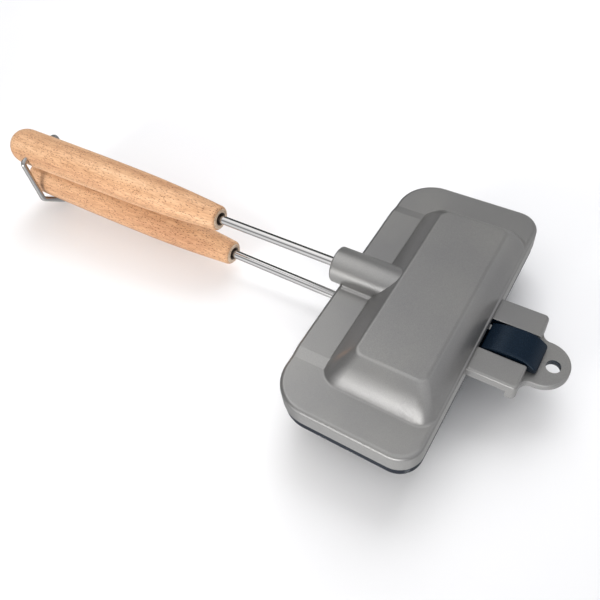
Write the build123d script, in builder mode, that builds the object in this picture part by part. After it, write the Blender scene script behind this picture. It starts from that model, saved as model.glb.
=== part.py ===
from build123d import *
import math
import os

# Pie iron: two hinged cast-aluminium pans on steel rods with wooden handles and a
# wire bail that swings over the lower handle.
# Millimetres.  +X runs from the handles to the hinge, +Y across the pans, +Z up.
# Origin: on the flat underside of the lower dome, below the middle of the pans.
os.makedirs("parts", exist_ok=True)

# ---- pans ----------------------------------------------------------------
PAN_W = 132.0            # across the pans, Y
PAN_X0 = -30.4           # outline edge on the handle side
PAN_X1 = 31.6            # outline edge on the hinge side
PAN_RH = 16.0            # outline corner radius on the handle side
PAN_RG = 10.0            # outline corner radius on the hinge side
HALF = 20.25             # parting plane to the flat of either dome
ZM = HALF                # height of the parting plane
FLANGE = 7.6             # parting plane to the outer face of the flange
RIM_R = 2.0              # rounding of the flange's outer edge
WALL = 2.5               # casting wall
SKIRT = 1.55             # the upper rim reaches this far below the parting plane
SKIRT_T = 1.6            # thickness of that skirt
RIM_T = 3.6              # rim thickness
LOWER_INSET = 0.4        # the lower rim stands this far inside the upper one
GAP = 0.4                # air between the two rims when shut
RIDGE_H = 1.0            # the lower pan's ridge above the parting plane
RIDGE_IN = 2.2           # its outer face, in from the pan's outline

# dome: outer rectangles (x0, x1, half width, corner radii handle / hinge side)
DOME_FOOT = (-16.6, 30.9, 51.1, 8.8, 6.6)
DOME_FOOT_Z = 6.6
DOME_MID = (-11.4, 27.9, 46.6, 6.4, 4.6)
DOME_MID_Z = 13.9
DOME_TOP = (-5.0, 23.6, 40.3, 3.8, 3.2)
DOME_R = 2.2             # rounding of the dome's top edge
BLEND = 1.2              # blends where dome, boss and flange meet
# pocket inside the dome
WELL_FOOT = (-15.2, 27.4, 49.5, 7.2, 5.2)
WELL_FOOT_Z = 4.6
WELL_MID = (-9.6, 25.0, 44.7, 5.4, 3.8)
WELL_MID_Z = 11.6
WELL_TOP = (-3.8, 21.8, 38.9, 3.4, 2.8)

# raised pad on the handle-side flange
PAD_UP = 1.2             # above the flange
PAD_TOP_Y = 41.3         # half length of its flat
PAD_FOOT_Y = 45.9        # half length at the foot of its ramps

# ---- rods and their bosses -------------------------------------------------
BOSS_R = 7.85
BOSS_Z = 12.0            # boss axis from the parting plane
BOSS_X0 = -35.0          # free end of the boss
BOSS_X1 = -4.0           # its end inside the dome
BOSS_FOOT = 1.5          # blend from the boss's sides into the pad
ROD_D = 4.0
ROD_X = -35.4            # station where the rod axis height is stated
ROD_Z = 12.2             # rod axis from the parting plane at that station
ROD_SLOPE = 0.0109       # the rods close towards the handles by this much per mm
ROD_IN = 20.0            # length cast into the boss, from the station
ROD_TAIL = 92.1          # length from the station to the rod's far end
THREAD_D = 3.4           # reduced end that screws into the insert
THREAD_L = 18.0

# ---- wooden grips (distances run from the rod station towards the tip) -------
GRIP_S0 = 61.8           # rod-end face of the upper grip
GRIP_S1 = 203.0          # its tip
GRIP_PROFILE = ((80, 7.2), (100, 8.26), (125, 8.88), (160, 9.28))   # distance, radius
GRIP_TIP_R = 9.4         # round tip
GRIP_SHIFT = 2.25        # the lower grip sits this much nearer the pans
GRIP_BORE = 5.7          # bore for the rod and its insert
GRIP_BORE_L = 33.2
INSERT_L = 16.0

# ---- hinge -----------------------------------------------------------------
BAR_X, BAR_Z, BAR_R = 46.5, 0.2, 2.3       # round bar between the upper pan's arms
ARM_Y0, ARM_Y1 = 7.5, 18.8                  # arms, inner and outer face
ARM_X1 = 51.0
ARM_R = 2.0                                 # their rounded corners in plan
ARM_Z0, ARM_Z1 = 0.45, 4.92
FOOT_X0 = 47.2                              # outer wall of the arms, down to the tab
TAB_T = 3.0
TAB_R, TAB_X = 10.4, 55.2                   # rounded end of the hang tab
NECK_R = 3.7                                # hollow corners where it leaves the arms
HOLE_R, HOLE_X = 2.9, 59.2
HOOK_Y = 6.8                                # half width of the lower pan's hook
HOOK_GAP = 0.2                              # running clearance on the bar
HOOK_TOP, HOOK_CREST_X = 6.6, 45.5          # crest of its arched top
HOOK_BACK_R, HOOK_BACK_Z = 14.45, 3.6       # its back: radius about the bar, top edge height

# ---- bail ------------------------------------------------------------------
WIRE_D = 2.8
BAIL_X = -220.3          # pivot through the upper handle
BAIL_UP = 1.0            # pivot above the handle's axis
BAIL_Y = 12.3            # half width between the legs' centre lines
BAIL_LEG = 26.0          # pivot to the corner
BAIL_V = 11.5            # drop from the corners to the bottom bend, before rounding
BAIL_LEAN = 0.0          # degrees towards the handle tips


def axis_z(x):
    """Height of the upper rod's axis above the parting plane at x."""
    return ROD_Z + ROD_SLOPE * (x - ROD_X)


def outline(x0, x1, hw, rh, rg):
    """Rounded rectangle with its own corner radii on the handle and hinge side."""
    with BuildLine() as path:
        Polyline((x0, -hw), (x1, -hw), (x1, hw), (x0, hw), close=True)
    with BuildSketch() as sk:
        add(path.line)
        make_face()
        fillet(sk.vertices().group_by(Axis.X)[0], rh)
        fillet(sk.vertices().filter_by(lambda v: abs(v.X - x1) < 1e-6), rg)
    return sk.sketch


def slab(plane, grow, height):
    """Pan outline grown by an offset and extruded up from a plane."""
    shape = plane * outline(PAN_X0 - grow, PAN_X1 + grow, PAN_W / 2 + grow,
                            PAN_RH + grow, PAN_RG + grow)
    with BuildPart() as s:
        extrude(shape, amount=height)
    return s.part


def dome(foot, foot_z, mid, mid_z, top, top_z):
    """Smooth loft through three rounded rectangles above the parting plane."""
    sections = [Plane.XY.offset(ZM + z) * outline(*rect)
                for rect, z in ((foot, foot_z), (mid, mid_z), (top, top_z))]
    with BuildPart() as d:
        loft(sections)
    return d.part


# ---- blanks shared by both halves (drawn as the upper one) --------------------
dome_loft = dome(DOME_FOOT, DOME_FOOT_Z, DOME_MID, DOME_MID_Z, DOME_TOP, HALF)
with BuildPart() as dome_blank:
    add(dome_loft)
    fillet(dome_blank.faces().sort_by(Axis.Z)[-1].edges(), DOME_R)

with BuildPart() as pad_blank:
    with BuildSketch(Plane.YZ.offset(PAN_X0)):
        with BuildLine():
            Polyline((-PAD_FOOT_Y - 2.6, ZM + FLANGE - RIM_R), (-PAD_FOOT_Y, ZM + FLANGE),
                     (-PAD_TOP_Y, ZM + FLANGE + PAD_UP), (PAD_TOP_Y, ZM + FLANGE + PAD_UP),
                     (PAD_FOOT_Y, ZM + FLANGE), (PAD_FOOT_Y + 2.6, ZM + FLANGE - RIM_R),
                     close=True)
        make_face()
    extrude(amount=17.0)
    fillet(pad_blank.edges().filter_by(lambda e: abs(e.center().X - PAN_X0) < 1e-3
                                       and e.center().Z > ZM + FLANGE + 0.2), RIM_R)

with BuildPart() as boss_blank:
    with BuildSketch(Plane.YZ.offset(BOSS_X0)):
        with Locations((0, ZM + BOSS_Z)):
            Circle(BOSS_R)
    extrude(amount=BOSS_X1 - BOSS_X0)
    fillet(boss_blank.faces().sort_by(Axis.X)[0].edges(), 0.9)


# upright sides of the boss below its axis, blended into the pad
with BuildPart() as boss_foot:
    with BuildSketch(Plane.YZ.offset(PAN_X0 + RIM_R)):
        with BuildLine():
            yb, zp, q = BOSS_R + BOSS_FOOT, ZM + FLANGE + PAD_UP, BOSS_FOOT * (1 - math.sqrt(0.5))
            b1 = Polyline((-BOSS_R, zp + BOSS_FOOT), (-BOSS_R, ZM + BOSS_Z),
                          (BOSS_R, ZM + BOSS_Z), (BOSS_R, zp + BOSS_FOOT))
            ThreePointArc(b1 @ 1, (BOSS_R + q, zp + q), (yb, zp))
            Polyline((yb, zp), (yb, zp - 1.0), (-yb, zp - 1.0), (-yb, zp))
            ThreePointArc((-yb, zp), (-BOSS_R - q, zp + q), b1 @ 0)
        make_face()
    extrude(amount=-10.0 - PAN_X0 - RIM_R)


def pan_outside(rim):
    """Outer form of one pan: rim and flange, dome, pad and rod boss, blended."""
    with BuildPart() as p:
        add(rim)
        fillet(p.faces().sort_by(Axis.Z)[-1].edges(), RIM_R)
        add(dome_blank.part)
        fillet(p.edges().filter_by(lambda e: abs(e.center().Z - ZM - FLANGE) < 1e-3
                                   and abs(e.center().Y) < 50.7 and -17 < e.center().X < 25),
               BLEND)
        add(pad_blank.part)
        fillet(p.edges().filter_by(lambda e: abs(e.center().Z - ZM - FLANGE - PAD_UP) < 1e-3
                                   and -18 < e.center().X < -12 and e.length > 60), 1.0)
        add(boss_foot.part)
        add(boss_blank.part)
    return p.part


well_loft = dome(WELL_FOOT, WELL_FOOT_Z, WELL_MID, WELL_MID_Z, WELL_TOP, HALF - WALL)

# forms used inside the pans
upper_rim = slab(Plane.XY.offset(ZM - SKIRT), 0, FLANGE + SKIRT)
upper_pocket = slab(Plane.XY.offset(ZM - SKIRT - 1), -RIM_T, FLANGE - WALL + SKIRT + 1)
upper_rebate = slab(Plane.XY.offset(ZM - SKIRT - 1), -SKIRT_T, SKIRT + 1 + RIDGE_H + GAP)
lower_rim = slab(Plane.XY.offset(ZM + SKIRT + GAP), -LOWER_INSET, FLANGE - SKIRT - GAP)
lower_ridge = slab(Plane.XY.offset(ZM - RIDGE_H), -RIDGE_IN, RIDGE_H + SKIRT + GAP + 0.5)
lower_pocket = slab(Plane.XY.offset(ZM - RIDGE_H - 1), -RIM_T, FLANGE - WALL + RIDGE_H + 1)
upper_outside = pan_outside(upper_rim)
lower_outside = pan_outside(lower_rim)

# rod: cast-in end with two keying grooves, plain shank, reduced end for the insert
rod_plane = Plane(origin=(ROD_X, 0, ZM + ROD_Z),
                  x_dir=(-1, 0, -ROD_SLOPE), z_dir=(0, 1, 0))
rod_axis = Axis(rod_plane.origin, rod_plane.x_dir)
with BuildPart() as rod_blank:
    with BuildSketch(rod_plane):
        with BuildLine():
            r, g = ROD_D / 2, ROD_D / 2 - 0.4
            Polyline((-ROD_IN, 0), (-ROD_IN, r - 0.4), (-ROD_IN + 0.4, r),
                     (-ROD_IN + 4, r), (-ROD_IN + 4, g), (-ROD_IN + 7, g), (-ROD_IN + 7, r),
                     (-ROD_IN + 10, r), (-ROD_IN + 10, g), (-ROD_IN + 13, g),
                     (-ROD_IN + 13, r), (ROD_TAIL - THREAD_L, r),
                     (ROD_TAIL - THREAD_L + 0.3, THREAD_D / 2), (ROD_TAIL - 0.4, THREAD_D / 2),
                     (ROD_TAIL, THREAD_D / 2 - 0.4), (ROD_TAIL, 0), close=True)
        make_face()
    revolve(axis=rod_axis)

with BuildPart() as grip_blank:
    with BuildSketch(rod_plane):
        with BuildLine():
            b = GRIP_BORE / 2
            tip_c = GRIP_S1 - GRIP_TIP_R
            l1 = Line((GRIP_S0 + GRIP_BORE_L, 0), (GRIP_S0 + GRIP_BORE_L, b))
            l2 = Line(l1 @ 1, (GRIP_S0 + 0.35, b))
            l3 = Line(l2 @ 1, (GRIP_S0, b + 0.35))
            l4 = Line(l3 @ 1, (GRIP_S0, 4.3))
            a1 = ThreePointArc(l4 @ 1, (GRIP_S0 + 0.62, 5.4), (GRIP_S0 + 2.4, 6.0))
            s1 = Spline(a1 @ 1, *GRIP_PROFILE, (tip_c, GRIP_TIP_R),
                        tangents=[(1, 0.085), (1, 0)])
            a2 = CenterArc((tip_c, 0), GRIP_TIP_R, 90, -90)
            Line(a2 @ 1, l1 @ 0)
        make_face()
    revolve(axis=rod_axis)

# threaded insert: knurled outside shown as plain lands between two relief grooves
with BuildPart() as insert_blank:
    s_end = ROD_TAIL - 0.8
    s0 = s_end - INSERT_L
    with BuildSketch(rod_plane):
        with BuildLine():
            ro, rg = GRIP_BORE / 2, GRIP_BORE / 2 - 0.35
            Polyline((s0, THREAD_D / 2), (s0, ro - 0.3), (s0 + 0.3, ro), (s0 + 4.5, ro),
                     (s0 + 4.5, rg), (s0 + 6, rg), (s0 + 6, ro), (s0 + 10, ro),
                     (s0 + 10, rg), (s0 + 11.5, rg), (s0 + 11.5, ro), (s_end - 0.3, ro),
                     (s_end, ro - 0.3), (s_end, THREAD_D / 2), close=True)
        make_face()
    revolve(axis=rod_axis)

# ---- rods ------------------------------------------------------------------
with BuildPart() as upper_rod:
    add(rod_blank.part)
upper_rod.part.label = "upper_rod"
export_step(upper_rod.part, "parts/upper_rod.step")

with BuildPart() as lower_rod:
    mirror(rod_blank.part, about=Plane.XY.offset(ZM))
lower_rod.part.label = "lower_rod"
export_step(lower_rod.part, "parts/lower_rod.step")

# ---- hinge bracket of the upper pan: arms, end walls, bar and hang tab ----------
with BuildPart() as bracket_blank:
    # arms beside the window
    with BuildSketch(Plane.XY.offset(ZM + ARM_Z0)) as arm_sketch:
        for s in (1, -1):
            with Locations(((28.0 + ARM_X1) / 2, s * (ARM_Y0 + ARM_Y1) / 2)):
                Rectangle(ARM_X1 - 28.0, ARM_Y1 - ARM_Y0)
        fillet(arm_sketch.vertices().filter_by(
            lambda v: v.X > ARM_X1 - 0.1 and abs(v.Y) > ARM_Y1 - 0.1), ARM_R)
    extrude(amount=ARM_Z1 - ARM_Z0)
    # end walls of the arms, down to the tab's level
    with BuildSketch(Plane.XY.offset(ZM - TAB_T)) as wall_sketch:
        for s in (1, -1):
            with Locations(((FOOT_X0 + ARM_X1) / 2, s * (ARM_Y0 + ARM_Y1) / 2)):
                Rectangle(ARM_X1 - FOOT_X0, ARM_Y1 - ARM_Y0)
        fillet(wall_sketch.vertices().filter_by(
            lambda v: v.X > ARM_X1 - 0.1 and abs(v.Y) > ARM_Y1 - 0.1), ARM_R)
    extrude(amount=ARM_Z1 + TAB_T)
    # hang tab
    with BuildSketch(Plane.XY.offset(ZM - TAB_T)):
        with BuildLine():
            yn = TAB_R + NECK_R
            l1 = Line((FOOT_X0 + 0.6, -yn), (FOOT_X0 + 0.6, yn))
            l2 = Line(l1 @ 1, (ARM_X1, yn))
            a1 = CenterArc((ARM_X1 + NECK_R, yn), NECK_R, 180, 90)
            l3 = Line(a1 @ 1, (TAB_X, TAB_R))
            a2 = ThreePointArc(l3 @ 1, (TAB_X + TAB_R, 0), (TAB_X, -TAB_R))
            l4 = Line(a2 @ 1, (ARM_X1 + NECK_R, -TAB_R))
            a3 = CenterArc((ARM_X1 + NECK_R, -yn), NECK_R, 90, 90)
            Line(a3 @ 1, l1 @ 0)
        make_face()
        with Locations((HOLE_X, 0)):
            Circle(HOLE_R, mode=Mode.SUBTRACT)
    extrude(amount=TAB_T)
    # soft casting edges
    fillet(bracket_blank.edges().filter_by(
        lambda e: abs(e.center().Z - ZM - ARM_Z1) < 1e-3
        and (abs(e.center().Y) > ARM_Y1 - 0.8 or e.center().X > ARM_X1 - 0.8)), 1.1)
    fillet(bracket_blank.edges().filter_by(
        lambda e: abs(e.center().Z - ZM - ARM_Z1) < 1e-3
        and abs(abs(e.center().Y) - ARM_Y0) < 1e-3), 0.4)
    fillet(bracket_blank.edges().filter_by(
        lambda e: abs(e.center().Z - ZM) < 1e-3 and e.center().X > ARM_X1 + 0.3
        and Vector(e.center().X - HOLE_X, e.center().Y, 0).length > 4), 0.5)
    # hinge bar, carried through under the arms
    with BuildSketch(Plane.XZ.offset(-ARM_Y1 + 2.0)):
        with Locations((BAR_X, ZM + BAR_Z)):
            Circle(BAR_R)
    extrude(amount=2 * (ARM_Y1 - 2.0))

# ---- upper pan --------------------------------------------------------------
with BuildPart() as upper_pan:
    add(upper_outside)
    add(bracket_blank.part)
    # inside: rim pocket, rebate for the lower ridge, dome pocket, rod socket
    add(upper_pocket, mode=Mode.SUBTRACT)
    add(upper_rebate, mode=Mode.SUBTRACT)
    add(well_loft, mode=Mode.SUBTRACT)
    add(rod_blank.part, mode=Mode.SUBTRACT)
upper_pan.part.label = "upper_pan"
export_step(upper_pan.part, "parts/upper_pan.step")

# ---- hook of the lower pan: a strap that rises through the window and closes
# ---- over the hinge bar ---------------------------------------------------------
with BuildPart() as hook_blank:
    with BuildSketch(Plane.XZ.offset(-HOOK_Y)):
        with BuildLine():
            cx, cz, ri = BAR_X, ZM + BAR_Z, BAR_R + HOOK_GAP
            top = ZM + HOOK_TOP
            a = math.radians(168)
            p_in = (cx + ri * math.cos(a), cz + ri * math.sin(a))
            # back of the strap, concentric with the bar so the upper rim sweeps past it
            back = [(cx - math.sqrt(HOOK_BACK_R ** 2 - (z - BAR_Z) ** 2), ZM + z)
                    for z in (-2.2, 0.7, HOOK_BACK_Z)]
            h1 = Line((29.0, ZM - 2.2), back[0])
            h2 = ThreePointArc(*back)
            # arched top up to its crest, then down over the bar to the tip
            run, up = HOOK_CREST_X - back[2][0], HOOK_TOP - HOOK_BACK_Z
            rt = (run ** 2 + up ** 2) / (2 * up)
            h3 = ThreePointArc(h2 @ 1, (back[2][0] + run / 2,
                                        top - rt + math.sqrt(rt ** 2 - run ** 2 / 4)),
                               (HOOK_CREST_X, top))
            h5 = TangentArc(h3 @ 1, (54.2, ZM + 2.6), tangent=(1, 0))
            h6 = TangentArc(h5 @ 1, (54.3, ZM + 0.5), tangent=h5 % 1)
            h7 = Line(h6 @ 1, (cx + math.sqrt(ri ** 2 - 0.3 ** 2), ZM + 0.5))
            h8 = ThreePointArc(h7 @ 1, (cx, cz + ri), p_in)
            h9 = Polyline(h8 @ 1, (42.8, ZM + 0.55), (39.4, ZM - 4.4))
            h10 = Line(h9 @ 1, (36.5, ZM - 6.2))
            h11 = Line(h10 @ 1, (29.0, ZM - 6.2))
            Line(h11 @ 1, h1 @ 0)
        make_face()
    extrude(amount=2 * HOOK_Y)
    for side in (HOOK_Y, -HOOK_Y):
        fillet(hook_blank.edges().filter_by(
            lambda e: abs(e.center().Y - side) < 1e-3
            and (e.center().Z > ZM + 4.0
                 or (e.center().X > 53.9 and e.center().Z > ZM + 0.9))), 0.8)
    # rounded corners of the hook's tip, seen from above
    with BuildSketch(Plane.XY.offset(ZM - 7)) as tip_sketch:
        with Locations(((28 + 54.85) / 2, 0)):
            Rectangle(54.85 - 28, 2 * HOOK_Y)
        fillet(tip_sketch.vertices().filter_by(lambda v: v.X > 50), 2.0)
    extrude(amount=15, mode=Mode.INTERSECT)

# ---- lower pan --------------------------------------------------------------
with BuildPart() as lower_core:
    add(lower_outside)
    add(lower_ridge)
    add(lower_pocket, mode=Mode.SUBTRACT)
    add(well_loft, mode=Mode.SUBTRACT)
    add(rod_blank.part, mode=Mode.SUBTRACT)

with BuildPart() as lower_pan:
    mirror(lower_core.part, about=Plane.XY.offset(ZM))
    add(hook_blank.part)
lower_pan.part.label = "lower_pan"
export_step(lower_pan.part, "parts/lower_pan.step")

# ---- wooden handles -----------------------------------------------------------
bail_z = ZM + axis_z(BAIL_X) + BAIL_UP
with BuildPart() as upper_handle:
    add(grip_blank.part)
    # cross hole for the bail
    with BuildSketch(Plane.XZ.offset(-15)):
        with Locations((BAIL_X, bail_z)):
            Circle(WIRE_D / 2 + 0.08)
    extrude(amount=30, mode=Mode.SUBTRACT)
upper_handle.part.label = "upper_handle"
export_step(upper_handle.part, "parts/upper_handle.step")

with BuildPart() as lower_handle:
    mirror(grip_blank.part.moved(Location(rod_plane.x_dir * -GRIP_SHIFT)),
           about=Plane.XY.offset(ZM))
lower_handle.part.label = "lower_handle"
export_step(lower_handle.part, "parts/lower_handle.step")

# ---- threaded inserts pressed into the handle bores --------------------------
with BuildPart() as upper_handle_insert:
    add(insert_blank.part)
upper_handle_insert.part.label = "upper_handle_insert"
export_step(upper_handle_insert.part, "parts/upper_handle_insert.step")

with BuildPart() as lower_handle_insert:
    mirror(insert_blank.part, about=Plane.XY.offset(ZM))
lower_handle_insert.part.label = "lower_handle_insert"
export_step(lower_handle_insert.part, "parts/lower_handle_insert.step")

# ---- bail --------------------------------------------------------------------
lean = math.radians(BAIL_LEAN)
bail_plane = Plane(origin=(BAIL_X, 0, bail_z), x_dir=(0, 1, 0),
                   z_dir=(math.cos(lean), 0, -math.sin(lean)))
with BuildPart() as bail:
    with BuildLine(bail_plane) as bail_path:
        FilletPolyline((0.5, 0), (BAIL_Y, 0), (BAIL_Y, -BAIL_LEG), (0, -BAIL_LEG - BAIL_V),
                       (-BAIL_Y, -BAIL_LEG), (-BAIL_Y, 0), (-0.5, 0),
                       radius=(2.2, 3.0, 3.5, 3.0, 2.2))
    with BuildSketch(Plane(origin=bail_path.line @ 0, z_dir=bail_path.line % 0)):
        Circle(WIRE_D / 2)
    sweep(path=bail_path.line)
bail.part.label = "bail"
export_step(bail.part, "parts/bail.step")
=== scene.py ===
import bpy, math
from mathutils import Vector, Matrix

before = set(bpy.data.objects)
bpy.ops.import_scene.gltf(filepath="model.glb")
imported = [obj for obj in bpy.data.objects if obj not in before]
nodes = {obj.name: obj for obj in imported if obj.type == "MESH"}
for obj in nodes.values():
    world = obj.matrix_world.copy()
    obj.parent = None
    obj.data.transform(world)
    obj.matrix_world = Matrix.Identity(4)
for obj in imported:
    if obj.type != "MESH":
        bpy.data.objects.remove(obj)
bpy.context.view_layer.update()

scene = bpy.context.scene
scene.view_settings.view_transform = "Standard"
scene.view_settings.look = "None"
scene.view_settings.exposure = 0.0
scene.view_settings.gamma = 1.0

ZM = 0.02025            # parting plane of the pans


# ---- small node helpers ---------------------------------------------------------
class Nodes:
    """Builds one material's node tree with short calls."""

    def __init__(self, name):
        self.mat = bpy.data.materials.new(name)
        self.mat.use_nodes = True
        self.tree = self.mat.node_tree
        self.tree.nodes.clear()
        self.out = self.new("ShaderNodeOutputMaterial")
        self.bsdf = self.new("ShaderNodeBsdfPrincipled")
        self.link(self.bsdf, "BSDF", self.out, "Surface")
        self.coord = self.new("ShaderNodeTexCoord")

    def new(self, kind, **props):
        n = self.tree.nodes.new(kind)
        for k, v in props.items():
            setattr(n, k, v)
        return n

    def link(self, a, ao, b, bi):
        self.tree.links.new(a.outputs[ao], b.inputs[bi])

    def set(self, **values):
        for k, v in values.items():
            self.bsdf.inputs[k.replace("_", " ")].default_value = v

    def mapped(self, scale, offset=(0, 0, 0), rotation=(0, 0, 0)):
        m = self.new("ShaderNodeMapping")
        m.inputs["Scale"].default_value = scale
        m.inputs["Location"].default_value = offset
        m.inputs["Rotation"].default_value = rotation
        self.link(self.coord, "Object", m, "Vector")
        return m

    def noise(self, vec, scale=1.0, detail=2.0, rough=0.5, distortion=0.0):
        n = self.new("ShaderNodeTexNoise")
        n.inputs["Scale"].default_value = scale
        n.inputs["Detail"].default_value = detail
        n.inputs["Roughness"].default_value = rough
        n.inputs["Distortion"].default_value = distortion
        self.link(vec, "Vector", n, "Vector")
        return n

    def ramp(self, src, out, stops, interp="LINEAR"):
        r = self.new("ShaderNodeValToRGB")
        r.color_ramp.interpolation = interp
        e = r.color_ramp.elements
        while len(e) < len(stops):
            e.new(0.5)
        for el, (p, c) in zip(e, stops):
            el.position = p
            el.color = (*c, 1.0) if len(c) == 3 else c
        self.link(src, out, r, "Fac")
        return r

    def remap(self, src, out, lo, hi, a, b):
        m = self.new("ShaderNodeMapRange")
        m.inputs["From Min"].default_value = lo
        m.inputs["From Max"].default_value = hi
        m.inputs["To Min"].default_value = a
        m.inputs["To Max"].default_value = b
        self.link(src, out, m, "Value")
        return m

    def math(self, op, a, ao, b=None, bo=None, value=None):
        m = self.new("ShaderNodeMath", operation=op)
        self.tree.links.new(a.outputs[ao], m.inputs[0])
        if b is not None:
            self.tree.links.new(b.outputs[bo], m.inputs[1])
        elif value is not None:
            m.inputs[1].default_value = value
        return m

    def mix(self, fac, fo, a, ao, b, bo, blend="MIX", factor=None):
        m = self.new("ShaderNodeMix", data_type="RGBA", blend_type=blend)
        if fac is not None:
            self.tree.links.new(fac.outputs[fo], m.inputs[0])
        elif factor is not None:
            m.inputs[0].default_value = factor
        for src, so, idx in ((a, ao, 6), (b, bo, 7)):
            if isinstance(src, tuple):
                m.inputs[idx].default_value = (*src, 1.0)
            else:
                self.tree.links.new(src.outputs[so], m.inputs[idx])
        return m

    def bump(self, src, out, strength, distance, prev=None):
        b = self.new("ShaderNodeBump")
        b.inputs["Strength"].default_value = strength
        b.inputs["Distance"].default_value = distance
        self.link(src, out, b, "Height")
        if prev is not None:
            self.link(prev, "Normal", b, "Normal")
        return b

    def normal(self, b):
        self.link(b, "Normal", self.bsdf, "Normal")


def lin(r, g, b):
    """sRGB 0-255 to linear."""
    return tuple((c / 255 / 12.92) if c <= 10.31 else ((c / 255 + 0.055) / 1.055) ** 2.4
                 for c in (r, g, b))


# ---- materials ------------------------------------------------------------------
def satin_coat(name, dark, light, metallic, rough_lo, rough_hi, flake=0.035, bump=0.10):
    """Satin high-temperature coating on a casting: fine sparkle, faint orange peel."""
    m = Nodes(name)
    fine = m.noise(m.mapped((1, 1, 1)), 5200, 2, 0.6)          # sparkle grain, 0.2 mm
    mid = m.noise(m.mapped((1, 1, 1)), 900, 3, 0.55)           # orange peel, 1 mm
    broad = m.noise(m.mapped((1, 1, 1)), 34, 3, 0.5)           # soft unevenness, 3 cm
    base = m.ramp(fine, "Fac", ((0.30, dark), (0.72, light)))
    tint = m.ramp(broad, "Fac", ((0.3, (0.93, 0.93, 0.94)), (0.7, (1.05, 1.045, 1.03))))
    col = m.mix(None, None, base, "Color", tint, "Color", "MULTIPLY", 1.0)
    m.link(col, 2, m.bsdf, "Base Color")
    r0 = m.remap(mid, "Fac", 0.3, 0.7, rough_lo, rough_hi)
    m.link(r0, "Result", m.bsdf, "Roughness")
    m.set(Metallic=metallic)
    b1 = m.bump(fine, "Fac", flake, 0.00008)
    b2 = m.bump(mid, "Fac", bump, 0.00025, b1)
    m.normal(b2)
    return m


grey = satin_coat("satin_grey_coat", lin(146, 146, 146), lin(170, 169, 168), 0.80, 0.29, 0.37)
dark = satin_coat("dark_nonstick_coat", lin(5, 15, 26), lin(13, 28, 43), 0.0, 0.22, 0.31,
                  flake=0.03, bump=0.08)
dark.set(IOR=1.38, Specular_Tint=(0.62, 0.80, 1.0, 1.0))
# darker, duller copy of the dark coat with its reflection level cut to 0.14: painted shade for the lower
# half's outer wall
rim_painted_shade = satin_coat("dark_nonstick_rim_painted_shade", lin(3, 13, 26), lin(9, 25, 44), 0.0, 0.34, 0.44,
                 flake=0.03, bump=0.08)
rim_painted_shade.set(IOR=1.38, Specular_Tint=(0.62, 0.80, 1.0, 1.0), Specular_IOR_Level=0.14)


def steel(name, axis, tint, rough_lo, rough_hi):
    """Drawn steel: hair lines along one axis over a bright metal."""
    m = Nodes(name)
    along = [4000.0, 4000.0, 4000.0]
    along[axis] = 45.0
    lines = m.noise(m.mapped(along), 1.0, 3, 0.6)
    marks = m.noise(m.mapped((1, 1, 1)), 260, 4, 0.6)
    col = m.ramp(lines, "Fac", ((0.25, tuple(c * 0.86 for c in tint)), (0.75, tint)))
    m.link(col, "Color", m.bsdf, "Base Color")
    a = m.remap(lines, "Fac", 0.3, 0.7, rough_lo, rough_hi)
    b = m.remap(marks, "Fac", 0.35, 0.75, 0.0, 0.04)
    r = m.math("ADD", a, "Result", b, "Result")
    m.link(r, "Value", m.bsdf, "Roughness")
    m.set(Metallic=1.0)
    m.normal(m.bump(lines, "Fac", 0.06, 0.00002))
    return m


rod_steel = steel("drawn_rod_steel", 0, lin(204, 203, 203), 0.05, 0.10)
wire_steel = steel("bent_wire_steel", 2, lin(186, 185, 184), 0.07, 0.14)
insert_steel = steel("turned_insert_steel", 1, lin(190, 188, 182), 0.25, 0.35)


def beech(name, seed, end=False, bore=False):
    """Beech: long pale grain, thin growth bands and short dark pore flecks along X."""
    m = Nodes(name)
    bands = m.noise(m.mapped((9, 150, 150), (seed, seed * 2.1, 0), (0.12, 0.0, 0.0)),
                    1.0, 3, 0.55, 0.3)
    fibre = m.noise(m.mapped((150, 1350, 1350), (seed, 0, seed)), 1.0, 4, 0.72)
    fleck_v = m.new("ShaderNodeTexVoronoi", feature="F1")
    fleck_v.inputs["Scale"].default_value = 1.0
    fleck_v.inputs["Randomness"].default_value = 1.0
    m.link(m.mapped((500, 1500, 1500), (seed * 3, seed, 0)), "Vector", fleck_v, "Vector")
    fleck = m.ramp(fleck_v, "Distance", ((0.20, (0.0, 0.0, 0.0)), (0.31, (1.0, 1.0, 1.0))))
    pale, mid, deep = lin(217, 177, 141), lin(204, 161, 124), lin(185, 139, 104)
    if end:
        pale, mid, deep = lin(232, 211, 188), lin(222, 199, 174), lin(204, 179, 152)
    # bore=True swaps in dark grey-brown tones: painted shade for the bore walls round the rod
    if bore:
        pale, mid, deep = lin(134, 120, 110), lin(116, 104, 95), lin(94, 84, 77)
    base = m.ramp(bands, "Fac", ((0.30, deep), (0.52, mid), (0.68, pale)))
    fib = m.ramp(fibre, "Fac", ((0.34, (0.74, 0.67, 0.60)), (0.60, (1.05, 1.05, 1.05))))
    c1 = m.mix(None, None, base, "Color", fib, "Color", "MULTIPLY", 1.0)
    f2 = m.mix(fleck, "Color", (0.34, 0.24, 0.18), None, (1.0, 1.0, 1.0), None)
    c2 = m.mix(None, None, c1, 2, f2, 2, "MULTIPLY", 0.90)
    m.link(c2, 2, m.bsdf, "Base Color")
    r = m.remap(fibre, "Fac", 0.3, 0.7, 0.42, 0.56)
    m.link(r, "Result", m.bsdf, "Roughness")
    b1 = m.bump(fibre, "Fac", 0.20, 0.00008)
    b2 = m.bump(fleck, "Color", 0.25, 0.00010, b1)
    m.normal(b2)
    return m


wood_a, wood_b = beech("beech_upper", 0.37), beech("beech_lower", 4.81)
wood_end = beech("beech_end_grain", 2.2, end=True)
wood_bore_painted_shade = beech("beech_bore_painted_shade", 3.1, bore=True)


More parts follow.
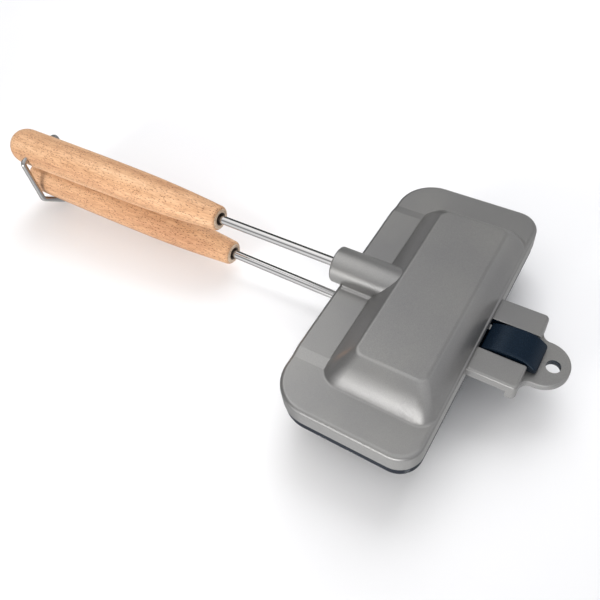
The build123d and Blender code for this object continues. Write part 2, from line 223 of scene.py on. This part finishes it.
# ---- which faces wear which finish ------------------------------------------------
def dress(name, mats, pick):
    """Assigns materials face by face: pick(centre, normal) gives the index."""
    me = nodes[name].data
    me.materials.clear()
    for m in mats:
        me.materials.append(m.mat)
    for p in me.polygons:
        p.material_index = pick(p.center, p.normal)


def inside_upper(c, n):
    x, y, z = c
    # the hang hole's wall gets the dark coat as painted shade, so the hole reads deep against the tab
    if abs(math.hypot(x - 0.0592, y) - 0.0029) < 0.0003 and abs(n.z) < 0.3:
        return 1
    # the hook's window: its walls and the bar wear the dark inner coat
    if abs(y) < 0.00755 and 0.0315 < x < 0.0500 and z < ZM + 0.0047 and n.z < 0.5:
        return 1
    if abs(y) < 0.0190 and 0.0435 < x < 0.0495 and n.z < 0.95 and abs(n.y) < 0.5 \
            and math.hypot(x - 0.0465, z - ZM - 0.0002) < 0.0024:
        return 1
    if -0.0292 < x < 0.0303 and abs(y) < 0.0648 and z < ZM + 0.0179:
        if n.z < -0.02 and z > ZM + 0.0009:
            return 1
        if z < ZM + 0.0056 and abs(n.z) < 0.2 and (x < -0.0284 or x > 0.0295 or abs(y) > 0.064
                                                   or x < -0.0266 or x > 0.0278 or abs(y) > 0.0622):
            # skirt's and pocket's upright walls look inwards
            return 1 if (n.x * (x - 0.0006) + n.y * y) < 0 else 0
    return 0


dress("upper_pan", (grey, dark), inside_upper)
# the lower half's outer wall gets a darker, duller copy of the dark coat with its reflection turned
# down: painted shade for the shadowed floor it would reflect; the real coat is the same as inside;
# the lower half's outer wall is given a duller finish than its inside (a guess)
dress("lower_pan", (dark, rim_painted_shade), lambda c, n: 1 if abs(n.z) < 0.6 and (
    n.x * (c.x - 0.0006) + n.y * c.y) > 0 and (abs(c.y) > 0.0635 or c.x < -0.0280 or (
        c.x > 0.0292 and abs(c.y) > 0.02)) else 0)
for h, w, sgn in (("upper_handle", wood_a, 1), ("lower_handle", wood_b, -1)):
    def grip_face(c, n, sgn=sgn):
        dz = c.z - ZM - sgn * (0.0122 + 0.0109 * (c.x + 0.0354))     # from the rod's axis
        # faces looking into the rod's bore take the dark bore colours, painted shade
        if c.x > -0.132 and math.hypot(c.y, dz) < 0.00330 and n.y * c.y + n.z * dz < -0.0005:
            return 2
        return 1 if n.x > 0.90 and c.x > -0.1015 else 0
    dress(h, (w, wood_end, wood_bore_painted_shade), grip_face)
for r in ("upper_rod", "lower_rod"):
    dress(r, (rod_steel,), lambda c, n: 0)
for r in ("upper_handle_insert", "lower_handle_insert"):
    dress(r, (insert_steel,), lambda c, n: 0)
dress("bail", (wire_steel,), lambda c, n: 0)

# ---- floor: the iron rests on the lower dome's edge and the bail's bottom bend ------
foot = min((v.co for v in nodes["bail"].data.vertices), key=lambda c: c.z)
edge_x = 0.0222                      # hinge-side edge of the lower dome's flat
tilt = math.atan2(-foot.z, edge_x - foot.x)
bpy.ops.mesh.primitive_grid_add(x_subdivisions=24, y_subdivisions=24, size=6.0,
                                location=(edge_x, 0, -0.0001))
floor = bpy.context.object
floor.name = "floor"
floor.rotation_euler = (0, -tilt, 0)
fl = Nodes("pale_floor")
sheen = fl.noise(fl.mapped((1, 1, 1)), 8, 2, 0.5)
fc = fl.ramp(sheen, "Fac", ((0.3, (0.85, 0.85, 0.865)), (0.7, (0.87, 0.87, 0.88))))
fl.link(fc, "Color", fl.bsdf, "Base Color")
fl.set(Roughness=0.55)
floor.data.materials.append(fl.mat)
floor.visible_glossy = False       # reflections take the sweep from the studio band

# ---- light -------------------------------------------------------------------------
world = bpy.data.worlds.new("studio")
scene.world = world
world.use_nodes = True
wt = world.node_tree
wt.nodes.clear()
wo = wt.nodes.new("ShaderNodeOutputWorld")
bg = wt.nodes.new("ShaderNodeBackground")
wt.links.new(bg.outputs[0], wo.inputs[0])
tc = wt.nodes.new("ShaderNodeTexCoord")
sep = wt.nodes.new("ShaderNodeSeparateXYZ")
wt.links.new(tc.outputs["Generated"], sep.inputs[0])


def wmath(op, a, b=None):
    m = wt.nodes.new("ShaderNodeMath")
    m.operation = op
    wt.links.new(a, m.inputs[0])
    if isinstance(b, float):
        m.inputs[1].default_value = b
    elif b is not None:
        wt.links.new(b, m.inputs[1])
    return m.outputs[0]


# the studio as a band from the near horizon (-90) over the zenith (0) to the far one (+90):
# white sweep below the near horizon, gap, overhead softboxes, then the dark room behind
BRIGHT = 4.6
across = wmath("ARCTAN2", sep.outputs["Y"], sep.outputs["Z"])
turn = wmath("ADD", wmath("MULTIPLY", across, 0.5 / math.pi), 0.5)


def wramp(stops):
    band = wt.nodes.new("ShaderNodeValToRGB")
    wt.links.new(turn, band.inputs["Fac"])
    cr = band.color_ramp.elements
    while len(cr) < len(stops):
        cr.new(0.5)
    for e, (deg, level) in zip(cr, stops):
        e.position = deg / 360 + 0.5
        warm = 1.0 if level < 1.5 else 0.985
        e.color = (level / BRIGHT, level / BRIGHT * (0.5 + 0.5 * warm), level / BRIGHT * warm, 1)
    return band.outputs["Color"]


def wsmooth(value, lo, hi, a=0.0, b=1.0):
    r = wt.nodes.new("ShaderNodeMapRange")
    r.interpolation_type = "SMOOTHSTEP"
    for k, v in (("From Min", lo), ("From Max", hi), ("To Min", a), ("To Max", b)):
        r.inputs[k].default_value = v
    wt.links.new(value, r.inputs["Value"])
    return r.outputs["Result"]


def wblend(fac, a, b, mode="MIX"):
    m = wt.nodes.new("ShaderNodeMix")
    m.data_type = "RGBA"
    m.blend_type = mode
    wt.links.new(fac, m.inputs[0])
    for v, i in ((a, 6), (b, 7)):
        if isinstance(v, float):
            m.inputs[i].default_value = (v / BRIGHT, v / BRIGHT, v / BRIGHT * 1.02, 1)
        else:
            wt.links.new(v, m.inputs[i])
    return m.outputs[2]


band = wramp(((-180, 0.80), (-150, 0.90), (-108, 0.92), (-92, 0.85), (-80, 0.42), (-62, 0.40),
              (-50, 0.85), (-20, 0.90), (8, 0.97), (24, 0.58), (38, 0.31), (58, 0.28),
              (74, 0.44), (100, 0.42), (124, 0.45), (180, 0.62)))
near = wramp(((-180, 0.0), (-150, 0.10), (-106, 0.25), (-97, 2.9), (-84, 2.9), (-74, 0.0), (180, 0.0)))
# what the rods and bail see to the handle side: brighter boxes with dark gaps between
bars = wramp(((-180, 0.55), (-140, 0.55), (-120, 1.10), (-82, 1.25), (-66, 0.40), (-44, 0.40),
              (-28, 1.20), (0, 1.55), (34, 1.55), (46, 0.30), (62, 0.05), (150, 0.05), (180, 0.45)))
x, z = sep.outputs["X"], sep.outputs["Z"]
sky = wblend(wmath("MULTIPLY", wsmooth(x, -0.42, -0.24), wsmooth(x, 0.40, 0.75, 1.0, 0.0)),
             band, near, "ADD")
sky = wblend(wsmooth(x, -0.40, -0.33, 1.0, 0.0), sky, bars)
minus_x = wblend(wsmooth(z, -0.30, 0.05), 0.36, 0.13)
plus_x = wblend(wsmooth(z, -0.15, 0.05), 0.46, 0.68)
ends = wblend(wmath("GREATER_THAN", x, 0.0), minus_x, plus_x)
wt.links.new(wblend(wsmooth(wmath("ABSOLUTE", x), 0.45, 0.90), sky, ends), bg.inputs["Color"])
bg.inputs["Strength"].default_value = BRIGHT


def area(name, where, target, size, watts, colour=(1, 1, 1), shape="RECTANGLE", size_y=None):
    l = bpy.data.lights.new(name, "AREA")
    l.shape = shape
    l.size = size
    if size_y:
        l.size_y = size_y
    l.energy = watts
    l.color = colour
    o = bpy.data.objects.new(name, l)
    scene.collection.objects.link(o)
    o.location = where
    o.rotation_euler = (Vector(target) - Vector(where)).to_track_quat("-Z", "Y").to_euler()
    return o


fill = area("ceiling softbox", (-0.26, 0.96, 1.00), (0.0, 0.0, 0.0), 1.1, 14.6, (0.985, 0.99, 1.0),
            size_y=1.1)
fill.visible_glossy = False
side = area("handle softbox", (-0.20, -0.40, 0.18), (-0.125, -0.02, 0.01), 0.24, 0.20, (1.0, 0.98, 0.95),
            size_y=0.16)
side.visible_glossy = False
side.data.spread = math.radians(58)

# ---- camera ----------------------------------------------------------------------
cam_d = bpy.data.cameras.new("camera")
cam = bpy.data.objects.new("camera", cam_d)
scene.collection.objects.link(cam)
scene.camera = cam
cam_d.sensor_width = 36.0
cam_d.lens = 640 / 600 * 36.0
cam_d.clip_start, cam_d.clip_end = 0.01, 20.0
R = ((0.847222, 0.519687, -0.110182),
     (0.358849, -0.712783, -0.602634),
     (-0.391716, 0.471026, -0.790375))
cam.matrix_world = Matrix((
    (R[0][0], -R[1][0], -R[2][0], 0.063822),
    (R[0][1], -R[1][1], -R[2][1], -0.147684),
    (R[0][2], -R[1][2], -R[2][2], 0.240027),
    (0, 0, 0, 1)))
